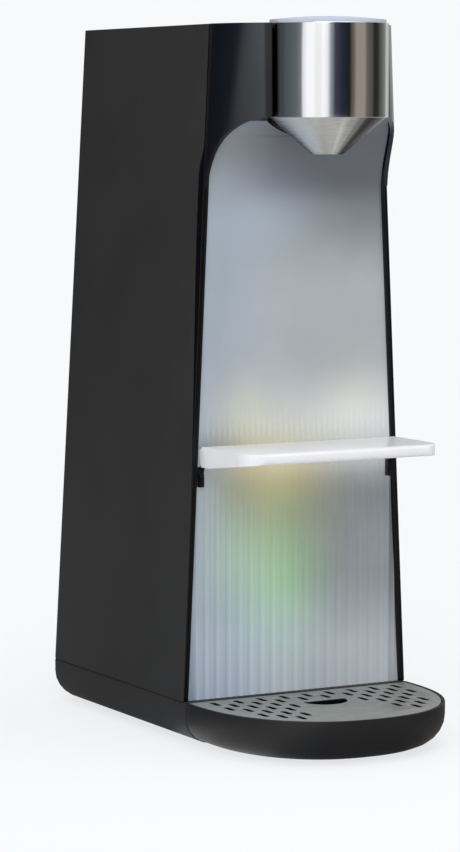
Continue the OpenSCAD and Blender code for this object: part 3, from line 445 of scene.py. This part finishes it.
def perforated(name, colour, roughness, top_mm):
    """Smooth plastic sheet whose holes are painted black below the top face, as painted shade."""
    finish = Finish(name, colour, roughness, constants={"Specular IOR Level": 0.4})
    _, _, z = finish.place()
    wave = finish.noise(6.0, 2.0)
    shade = finish.blend(wave.ramp(0.3, 0.7), opaque(colour), opaque(colour, 0.92))
    # Below the top face the holes' walls are painted black: painted shade
    finish.set("Base Color", finish.blend(z.ramp(top_mm - 0.12, top_mm - 0.3), shade, PAINTED_HOLE_SHADE))
    finish.set("Roughness", wave.ramp(0.3, 0.75, roughness - 0.03, roughness + 0.06))
    finish.bump(wave, 0.006)
    return finish.material


def soft_rubber(name, colour):
    """Matte elastomer with a dusty bloom."""
    finish = Finish(name, colour, 0.8, constants={"Specular IOR Level": 0.3})
    bloom = finish.noise(2.5, 4.0)
    finish.set("Base Color", finish.blend(bloom.ramp(0.4, 0.8), opaque(colour), DUST_GREY))
    finish.set("Roughness", bloom.ramp(0.3, 0.7, 0.72, 0.9))
    finish.bump(bloom, 0.02)
    return finish.material


def clear_moulding(name, colour):
    """Clear tinted plastic whose walls catch the light."""
    finish = Finish(name, colour, 0.08, constants={"IOR": 1.49, "Transmission Weight": 0.96})
    wave = finish.noise(14.0, 2.0)
    finish.set("Roughness", wave.ramp(0.3, 0.8, 0.08, 0.18))
    finish.bump(wave, 0.02)
    return finish.material


def circuit_green(name, colour):
    """Solder mask with fine tracks under it."""
    finish = Finish(name, colour, 0.35, constants={"Coat Weight": 0.4, "Coat Roughness": 0.15})
    x, _, z = finish.place()
    tracks = ((x * 2.6).sine() * (z * 1.9).sine()).ramp(0.55, 0.75)
    finish.set("Base Color", finish.blend(tracks, opaque(colour), opaque(colour, (2.0, 1.7, 1.6))))
    finish.bump(tracks, 0.03)
    return finish.material


def frosted_lamp(name, colour, strength):
    """Milky plastic that passes light on."""
    finish = Finish(name, colour, 0.5, constants={"Emission Strength": strength})
    mottle = finish.noise(3.0, 2.0)
    finish.set("Base Color", finish.blend(mottle, opaque(colour), opaque(colour, 0.92)))
    finish.set("Emission Color", opaque(colour))
    finish.bump(mottle, 0.01)
    return finish.material


# ---------------------------------------------------------------- sizes and colours

def colour_property(name, description, default):
    """Colour that a user may change."""
    return bpy.props.FloatVectorProperty(
        name=name, description=description, default=default, subtype="COLOR", size=3, min=0.0, max=1.0)


def length_property(name, description, millimetres):
    """Length that a user may change, kept in metres."""
    return bpy.props.FloatProperty(
        name=name, description=description, default=millimetres * MM, unit="LENGTH", min=0.0, precision=5)


class CarbonatorLooks(bpy.types.PropertyGroup):
    """Colours of the machine."""
    case: colour_property("Covers", "Satin black of the covers", (0.022, 0.022, 0.0223))
    pan: colour_property("Base", "Satin black of the base", (0.023, 0.023, 0.0235))
    tray: colour_property("Tray", "Matte black of the drip tray", (0.0105, 0.0105, 0.011))
    gloss: colour_property("Front frame", "Polished black of the head and the front legs", (0.003, 0.003, 0.0045))
    panel: colour_property("Panel", "Pale silver of the front panels", (0.21, 0.235, 0.25))
    # Painted light on the panels: the painted reflection on their left side and painted light near the bottom and
    # below the head
    painted_cool_light: colour_property("Cool light", "Cool light behind the panels", (0.15, 0.18, 0.235))
    # Painted light on the panels: the white shelf's painted reflection, painted light in its shadow and more painted
    # light high and low
    painted_pale_light: colour_property("Pale light", "Even light behind the panels", (0.245, 0.25, 0.26))
    # Green and amber painted glow on the panels
    painted_green_glow: colour_property("Green light", "Green patch of light", (0.05, 0.20, 0.06))
    painted_amber_glow: colour_property("Amber light", "Amber patches of light", (0.20, 0.16, 0.0))
    # Orange painted glow under the shelf
    painted_orange_glow: colour_property("Orange light", "Orange light under the shelf", (0.10, 0.045, 0.03))
    chrome: colour_property("Sleeve", "Plated metal of the head's sleeve", (0.78, 0.78, 0.79))
    cone: colour_property("Cone", "Brushed metal of the nozzle cone", (0.55, 0.54, 0.52))
    shelf: colour_property("Shelf", "White of the cup shelf", (0.73, 0.73, 0.75))
    button: colour_property("Button", "Pale blue of the button", (0.46, 0.51, 0.60))
    plate: colour_property("Drip plate", "Grey of the drip plate", (0.22, 0.228, 0.222))
    rubber: colour_property("Rubber", "Feet and seals", (0.02, 0.02, 0.02))


class CarbonatorSizes(bpy.types.PropertyGroup):
    """Sizes of the finely made pieces."""
    side_edge: length_property("Side edges", "Rounding of the side covers and the rear door", 0.5)
    cover_edge: length_property("Cover edges", "Rounding of the rear and top covers and the tank's lid", 0.4)
    base_edge: length_property("Base edges", "Rounding of the base", 0.3)
    tray_edge: length_property("Tray edges", "Rounding of the drip tray", 0.4)
    plate_edge: length_property("Plate edges", "Rounding of the drip plate and its holes", 0.15)
    frame_edge: length_property("Frame edges", "Rounding of the front frame", 0.4)
    bracket_edge: length_property("Bracket edges", "Rounding of the shelf's brackets", 0.3)
    shelf_edge: length_property("Shelf edges", "Rounding of the cup shelf", 0.8)
    sleeve_edge: length_property("Sleeve edges", "Rounding of the metal sleeve", 0.4)
    sleeve_wall: length_property("Sleeve wall", "Thickness of the metal sleeve", 1.1)
    cone_edge: length_property("Cone edges", "Rounding of the cone where it is seen", 0.5)
    cone_wall: length_property("Cone wall", "Thickness of the cone inside the sleeve", 2.4)
    mouth_radius: length_property("Mouth radius", "Outer radius of the cone's lower end", 9.0)
    mouth_wall: length_property("Mouth wall", "Thickness of the cone above its outlet", 1.0)
    outlet_radius: length_property("Outlet radius", "Radius of the outlet in the cone", 7.0)
    outlet_depth: length_property("Outlet depth", "Depth of the outlet in the cone", 4.4)


class CarbonatorStudio(bpy.types.PropertyGroup):
    """Camera and light of the studio."""
    azimuth: bpy.props.FloatProperty(
        name="Azimuth", description="Side from which the camera looks, 0 is straight at the front",
        default=math.radians(-28.67), subtype="ANGLE")
    drop: bpy.props.FloatProperty(
        name="Drop", description="Angle by which the camera looks down",
        default=math.radians(5.52), subtype="ANGLE")
    distance: bpy.props.FloatProperty(
        name="Distance", description="Distance from the camera to the point it looks at",
        default=1.8534, unit="LENGTH", min=0.5)
    lens: bpy.props.FloatProperty(
        name="Lens", description="Focal length in millimetres on a 36 mm frame", default=134.2, min=20.0)
    world: bpy.props.FloatProperty(
        name="Fill", description="Strength of the even light from all round", default=0.75, min=0.0)


SETTINGS = {
    "carbonator_looks": CarbonatorLooks,
    "carbonator_sizes": CarbonatorSizes,
    "carbonator_studio": CarbonatorStudio,
}


# ---------------------------------------------------------------- shaping

def merged(node):
    """Copy of a piece of the frame with its loose triangles joined into whole faces."""
    shape = bmesh.new()
    shape.from_mesh(frame["nodes"][node].data)
    bmesh.ops.remove_doubles(shape, verts=shape.verts, dist=MERGE_MM * MM)
    bmesh.ops.dissolve_limit(shape, angle_limit=math.radians(FLAT_DEGREES), verts=shape.verts, edges=shape.edges)
    return shape


def round_edges(shape, width, segments=2, angle=SMOOTH_DEGREES, chosen=None):
    """Rounds the edges that are sharper than an angle, or only the chosen ones of them."""
    limit = math.radians(angle)
    edges = [edge for edge in shape.edges
             if edge.is_manifold and edge.calc_face_angle() > limit and (chosen is None or chosen(edge))]
    bmesh.ops.bevel(shape, geom=edges, offset=width, offset_type="OFFSET", segments=segments,
                    profile=0.5, affect="EDGES", material=-1, clamp_overlap=True)


def turned(profile, axis):
    """Spins a closed outline of radius and height round an upright axis."""
    shape = bmesh.new()
    corners = [shape.verts.new((axis.x + radius, axis.y, height)) for radius, height in profile]
    for first, second in zip(corners, corners[1:] + corners[:1]):
        shape.edges.new((first, second))
    bmesh.ops.spin(shape, geom=shape.verts[:] + shape.edges[:], cent=(axis.x, axis.y, 0.0), axis=(0.0, 0.0, 1.0),
                   angle=math.tau, steps=TURNED_STEPS, use_merge=True)
    bmesh.ops.remove_doubles(shape, verts=shape.verts, dist=MERGE_MM * MM)
    bmesh.ops.recalc_face_normals(shape, faces=shape.faces)
    return shape


def stands_for(shape, name, material, node):
    """Makes a shape a piece of the machine in the place of a node of the frame."""
    mesh = bpy.data.meshes.new(name)
    shape.to_mesh(mesh)
    shape.free()
    mesh.shade_smooth()
    mesh.set_sharp_from_angle(angle=math.radians(SMOOTH_DEGREES))
    mesh.materials.append(material)
    piece = bpy.data.objects.new(name, mesh)
    bpy.context.scene.collection.objects.link(piece)
    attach(piece, body_of(node))
    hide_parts(node)
    return piece


def body_of(node):
    """Body of the frame that carries a node."""
    return next(body for body, nodes in frame["record"]["behaviour"]["bodies"].items() if node in nodes)


def travel_of(joint):
    """Length in metres that a sliding joint of the frame runs from rest."""
    return next(row["range_m"][1] for row in frame["record"]["behaviour"]["joints"] if row["name"] == joint)


def dressed(node, name, material, edge=0.0, segments=2, angle=SMOOTH_DEGREES):
    """Piece made from a node of the frame, with a finish and with its edges rounded where a width is given."""
    shape = merged(node)
    if edge:
        round_edges(shape, edge, segments, angle)
    return stands_for(shape, name, material, node)


def give(material, *nodes):
    """Puts a finish on pieces of the frame, in the place of the plain one."""
    for node in nodes:
        piece = frame["nodes"][node]
        piece.data.materials.clear()
        piece.data.materials.append(material)


# ---------------------------------------------------------------- operators

class CARBONATOR_OT_covers(bpy.types.Operator):
    """Make the covers, the rear door and the tank's lid"""
    bl_idname = "carbonator.covers"
    bl_label = "Covers"

    def execute(self, context):
        looks, sizes = context.scene.carbonator_looks, context.scene.carbonator_sizes
        satin = moulded_black("satin_black", looks.case, 0.46)
        front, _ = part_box("left_side_cover")
        sides = edged_black("satin_sides", looks.case, 0.46, looks.gloss, front.y / MM)
        dressed("left_side_cover", "cover_left", sides, sizes.side_edge)
        dressed("right_side_cover", "cover_right", sides, sizes.side_edge)
        dressed("rear_cover", "cover_rear", satin, sizes.cover_edge)
        dressed("top_cover", "cover_top", satin, sizes.cover_edge)
        dressed("rear_door", "door_rear", satin, sizes.side_edge)
        dressed("tank_lid", "lid_tank", satin, sizes.cover_edge)
        return {"FINISHED"}


class CARBONATOR_OT_base(bpy.types.Operator):
    """Make the base, the tray and the drip plate"""
    bl_idname = "carbonator.base"
    bl_label = "Base and tray"

    def execute(self, context):
        looks, sizes = context.scene.carbonator_looks, context.scene.carbonator_sizes
        dressed("base_pan", "pan", moulded_black("satin_base", looks.pan, 0.5), sizes.base_edge)
        dressed("drip_tray", "tray", moulded_black("matte_base", looks.tray, 0.5), sizes.tray_edge)
        _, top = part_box("drip_plate")
        dressed("drip_plate", "plate", perforated("plate_grey", looks.plate, 0.32, top.z / MM), sizes.plate_edge)
        give(soft_rubber("foot_rubber", looks.rubber), "rubber_feet", "tank_seal", "pump_mount")
        return {"FINISHED"}


class CARBONATOR_OT_front(bpy.types.Operator):
    """Make the front frame, the panels and the cup shelf"""
    bl_idname = "carbonator.front"
    bl_label = "Front"

    def execute(self, context):
        looks, sizes = context.scene.carbonator_looks, context.scene.carbonator_sizes
        low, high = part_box("head_sleeve")
        sleeve = ((high.x - low.x) / 2 / MM, (low.y + high.y) / 2 / MM)
        gloss = polished_black("piano_black", looks.gloss, sleeve)
        silver = silver_panel("lit_silver", looks)
        dressed("front_frame", "frame_front", gloss, sizes.frame_edge)
        dressed("shelf_bracket_left", "bracket_left", gloss, sizes.bracket_edge)
        dressed("shelf_bracket_right", "bracket_right", gloss, sizes.bracket_edge)
        dressed("upper_panel", "panel_upper", silver)
        dressed("fluted_panel", "panel_fluted", silver)
        white = glossy_plastic("shelf_white", looks.shelf, 0.34, 26.0)
        dressed("cup_shelf", "shelf", white, sizes.shelf_edge, 3, 40.0)
        give(frosted_lamp("frosted_sheet", (0.85, 0.86, 0.88), 0.2), "light_diffuser")
        give(frosted_lamp("lamp_white", (0.95, 0.95, 0.85), 1.0), "leds")
        return {"FINISHED"}


class CARBONATOR_OT_head(bpy.types.Operator):
    """Make the metal sleeve, the cone, the spout and the button"""
    bl_idname = "carbonator.head"
    bl_label = "Head"

    def execute(self, context):
        looks, sizes = context.scene.carbonator_looks, context.scene.carbonator_sizes
        low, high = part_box("head_sleeve")
        axis = (low + high) / 2
        radius = (high.x - low.x) / 2
        bore = radius - sizes.sleeve_wall
        sleeve = turned([(radius, low.z), (radius, high.z), (bore, high.z), (bore, low.z)], axis)
        round_edges(sleeve, sizes.sleeve_edge, 3)
        stands_for(sleeve, "sleeve", polished_metal("sleeve_chrome", looks.chrome), "head_sleeve")

        # The cone's upper part sits in the sleeve, and its lower end has a round outlet
        tip, rim = (corner.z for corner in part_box("nozzle_cone"))
        inner = bore - sizes.cone_wall
        seat = tip + sizes.outlet_depth
        cone = turned([(sizes.mouth_radius, tip), (bore, low.z), (bore, rim), (inner, rim), (inner, low.z),
                       (sizes.mouth_radius - sizes.mouth_wall, seat), (sizes.outlet_radius, seat),
                       (sizes.outlet_radius, tip)], axis)
        round_edges(cone, sizes.cone_edge, 3, 20.0, lambda edge: edge.verts[0].co.z < low.z - SEEN_BELOW_MM * MM)
        stands_for(cone, "cone", turned_metal("cone_brushed", looks.cone, axis.y / MM), "nozzle_cone")

        blue = glossy_plastic("button_blue", looks.button, 0.5, coat=0.0, shine=0.2)
        dressed("dispense_button", "cap", blue)

        # The spring gets a mesh of its own; the share to which the button's travel would flatten it is worked out but
        # not used
        foot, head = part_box("button_spring")
        spring = dressed("button_spring", "spring", plain_metal("spring_steel", STEEL, 0.25))
        1.0 - travel_of("button_press") / (head.z - foot.z)
        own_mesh(spring)
        return {"FINISHED"}


class CARBONATOR_OT_inside(bpy.types.Operator):
    """Finish everything inside the housing"""
    bl_idname = "carbonator.inside"
    bl_label = "Inside"

    def execute(self, context):
        give(moulded_black("inner_black", (0.03, 0.03, 0.03), 0.55),
             "nozzle_tip", "head_core", "button_switch", "solenoid_valve", "water_pump", "tank_socket",
             "cylinder_cradle", "power_inlet")
        give(plain_metal("bright_steel", STEEL, 0.3),
             "base_screws", "chassis_plate", "top_deck", "shelf_pins", "carbonation_chamber", "chamber_clamps",
             "pump_motor", "door_pins", "tank_lid_pin")
        give(plain_metal("drawn_aluminium", (0.66, 0.67, 0.69), 0.36), "co2_cylinder")
        give(plain_metal("turned_brass", (0.60, 0.45, 0.18), 0.28, (0.1, 0.1, 1.0)),
             "check_valve", "cylinder_valve", "regulator_block", "relief_valve", "board_standoffs")
        give(circuit_green("solder_mask", (0.02, 0.14, 0.07)), "light_board", "control_board", "power_board")
        give(glossy_plastic("silicone_hose", (0.60, 0.62, 0.62), 0.4),
             "outlet_hose", "feed_hose", "riser_hoses", "pump_hose", "gas_hose")
        give(clear_moulding("tank_clear", (0.80, 0.88, 0.92)), "water_tank")
        give(glossy_plastic("valve_white", (0.8, 0.8, 0.8), 0.35), "tank_valve")
        return {"FINISHED"}


# Light and dark flats round the machine: the bearing from straight in front, in degrees, and the colour there
FLATS = (
    (-180.0, (0.03, 0.03, 0.03)),
    (-168.0, (0.045, 0.042, 0.042)),
    (-155.0, (0.15, 0.14, 0.14)),
    (-141.0, (0.045, 0.045, 0.045)),
    (-127.0, (0.06, 0.065, 0.075)),
    (-109.0, (0.095, 0.115, 0.12)),
    (-92.0, (0.12, 0.14, 0.16)),
    (-80.0, (0.20, 0.22, 0.25)),
    (-74.0, (0.95, 0.97, 1.02)),
    (-66.0, (1.2, 1.2, 1.2)),
    (-55.0, (1.2, 1.2, 1.2)),
    (-50.0, (1.04, 1.05, 1.03)),
    (-42.0, (1.06, 1.07, 1.05)),
    (-37.0, (1.2, 1.2, 1.2)),
    (-31.0, (1.05, 1.06, 1.1)),
    (-22.0, (0.26, 0.28, 0.32)),
    (-15.0, (0.05, 0.055, 0.08)),
    (-2.0, (0.022, 0.026, 0.045)),
    (10.0, (0.016, 0.016, 0.017)),
    (17.0, (0.14, 0.12, 0.10)),
    (25.0, (0.36, 0.31, 0.27)),
    (40.0, (0.36, 0.31, 0.27)),
    (48.0, (0.15, 0.13, 0.12)),
    (58.0, (0.10, 0.10, 0.095)),
    (66.0, (0.025, 0.025, 0.022)),
    (76.0, (0.03, 0.03, 0.03)),
    (84.0, (0.10, 0.11, 0.10)),
    (100.0, (0.20, 0.22, 0.19)),
    (115.0, (0.6, 0.6, 0.6)),
    (130.0, (0.5, 0.5, 0.5)),
    (160.0, (0.05, 0.05, 0.05)),
    (180.0, (0.03, 0.03, 0.03)),
)


def banded(finish, stops):
    """Colours that change with the bearing round the upright axis of the object, as a wire."""
    x, y, _ = finish.place()
    bearing = x.bearing(-y) * DEGREES
    _, first = stops[0]
    shade = (*first, 1.0)
    for (start, _), (end, colour) in zip(stops, stops[1:]):
        shade = finish.blend(bearing.ramp(start, end), shade, (*colour, 1.0))
    return shade


def staged(shape, name, finish):
    """Makes a shape a piece of the studio."""
    mesh = bpy.data.meshes.new(name)
    shape.to_mesh(mesh)
    shape.free()
    mesh.materials.append(finish.material)
    piece = bpy.data.objects.new(name, mesh)
    bpy.context.scene.collection.objects.link(piece)
    return piece


class CARBONATOR_OT_studio(bpy.types.Operator):
    """Set up the floor, the soft light and the camera"""
    bl_idname = "carbonator.studio"
    bl_label = "Studio"

    def execute(self, context):
        studio = context.scene.carbonator_studio
        scene = context.scene
        scene.view_settings.view_transform = "Standard"
        self.floor()
        self.world(scene, studio)
        self.lamps()
        self.ring()
        self.camera(scene, studio)
        return {"FINISHED"}

    def floor(self):
        """Floor that fades into the backdrop, and that mirrors show dark and light like the flats round it."""
        finish = Finish("floor_white", (0.84, 0.85, 0.87), 0.9, constants={"Specular IOR Level": 0.0})
        x, y, _ = finish.place()
        seen = finish.node("ShaderNodeLightPath", output="Is Camera Ray")
        mirrored = finish.node("ShaderNodeLightPath", output="Is Glossy Ray")
        through = finish.node("ShaderNodeLightPath", output="Is Transmission Ray")
        outward = (x * x + y * y).root().ramp(FLOOR_NEAR_MM, FLOOR_FAR_MM, FLOOR_NEAR_SHARE, 1.0)
        share = (seen * outward + mirrored + through).at_most(1.0)
        light = finish.blend(mirrored * FLOOR_MIRRORED, BACKDROP, banded(finish, FLATS))
        plain = finish.node("ShaderNodeEmission", {}, {"Color": light, "Strength": 1.0})
        mixed = finish.tree.nodes.new("ShaderNodeMixShader")
        finish.tree.links.new(share.socket, mixed.inputs[0])
        finish.tree.links.new(finish.shader.outputs[0], mixed.inputs[1])
        finish.tree.links.new(plain.socket, mixed.inputs[2])
        finish.tree.links.new(mixed.outputs[0], finish.output.inputs["Surface"])
        shape = bmesh.new()
        bmesh.ops.create_circle(shape, cap_ends=True, segments=96, radius=FLOOR_RADIUS)
        staged(shape, "floor", finish)

    def world(self, scene, studio):
        """Even light from all round, with the backdrop's colour for the camera."""
        world = bpy.data.worlds.new("studio")
        scene.world = world
        world.use_nodes = True
        nodes = world.node_tree.nodes
        links = world.node_tree.links
        nodes.clear()
        path = nodes.new("ShaderNodeLightPath")
        fill = nodes.new("ShaderNodeBackground")
        fill.inputs["Color"].default_value = (1.0, 1.0, 1.0, 1.0)
        fill.inputs["Strength"].default_value = studio.world
        backdrop = nodes.new("ShaderNodeBackground")
        backdrop.inputs["Color"].default_value = BACKDROP
        backdrop.inputs["Strength"].default_value = 1.0
        mix = nodes.new("ShaderNodeMixShader")
        end = nodes.new("ShaderNodeOutputWorld")
        links.new(path.outputs["Is Camera Ray"], mix.inputs[0])
        links.new(fill.outputs[0], mix.inputs[1])
        links.new(backdrop.outputs[0], mix.inputs[2])
        links.new(mix.outputs[0], end.inputs["Surface"])

    def lamps(self):
        """Square lamps, each with its place, its size in metres and its power in watts."""
        for name, (spot, size, power) in LAMPS.items():
            lamp = bpy.data.lights.new(name, "AREA")
            lamp.size = size
            lamp.energy = power
            holder = bpy.data.objects.new(name, lamp)
            holder.location = spot
            aim = Vector(LAMP_AIM) - Vector(spot)
            holder.rotation_euler = aim.to_track_quat("-Z", "Y").to_euler()
            bpy.context.scene.collection.objects.link(holder)

    def ring(self):
        """Round wall of light and dark flats that shows only in reflections."""
        _, first = FLATS[0]
        finish = Finish("studio_wall", first, 1.0)
        light = finish.node("ShaderNodeEmission", {}, {"Color": banded(finish, FLATS), "Strength": 1.0})
        finish.tree.links.new(light.socket, finish.output.inputs["Surface"])
        shape = bmesh.new()
        bmesh.ops.create_cone(shape, cap_ends=False, segments=128, radius1=RING_RADIUS, radius2=RING_RADIUS,
                              depth=RING_TOP - RING_BOTTOM)
        bmesh.ops.translate(shape, verts=shape.verts, vec=(0.0, 0.0, (RING_TOP + RING_BOTTOM) / 2))
        wall = staged(shape, "studio_wall", finish)
        wall.visible_camera = False
        wall.visible_diffuse = False
        wall.visible_shadow = False
        wall.visible_transmission = False

    def camera(self, scene, studio):
        """Camera that looks down at the machine from one side."""
        data = bpy.data.cameras.new("camera")
        data.sensor_fit = "AUTO"
        data.sensor_width = SENSOR_MM
        data.lens = studio.lens
        holder = bpy.data.objects.new("camera", data)
        scene.collection.objects.link(holder)
        back = Vector((math.sin(studio.azimuth) * math.cos(studio.drop),
                       -math.cos(studio.azimuth) * math.cos(studio.drop),
                       math.sin(studio.drop)))
        holder.location = Vector(CAMERA_AIM) + back * studio.distance
        holder.rotation_euler = (-back).to_track_quat("-Z", "Y").to_euler()
        scene.camera = holder


class CARBONATOR_PT_panel(bpy.types.Panel):
    """Buttons and values of the soda carbonator"""
    bl_idname = "CARBONATOR_PT_panel"
    bl_label = "Soda Carbonator"
    bl_space_type = "VIEW_3D"
    bl_region_type = "UI"
    bl_category = "Carbonator"

    def draw(self, context):
        for operator in OPERATORS:
            self.layout.operator(operator.bl_idname)
        for name, group in SETTINGS.items():
            box = self.layout.box()
            for value in group.__annotations__:
                box.prop(getattr(context.scene, name), value)


OPERATORS = (
    CARBONATOR_OT_covers,
    CARBONATOR_OT_base,
    CARBONATOR_OT_front,
    CARBONATOR_OT_head,
    CARBONATOR_OT_inside,
    CARBONATOR_OT_studio,
)
CLASSES = (*SETTINGS.values(), *OPERATORS, CARBONATOR_PT_panel)


def register():
    for each in CLASSES:
        bpy.utils.register_class(each)
    for name, group in SETTINGS.items():
        setattr(bpy.types.Scene, name, bpy.props.PointerProperty(type=group))


def unregister():
    for name in SETTINGS:
        delattr(bpy.types.Scene, name)
    for each in reversed(CLASSES):
        bpy.utils.unregister_class(each)


def main():
    """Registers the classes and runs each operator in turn."""
    register()
    for operator in OPERATORS:
        group, name = operator.bl_idname.split(".")
        getattr(getattr(bpy.ops, group), name)()


if __name__ == "__main__":
    main()
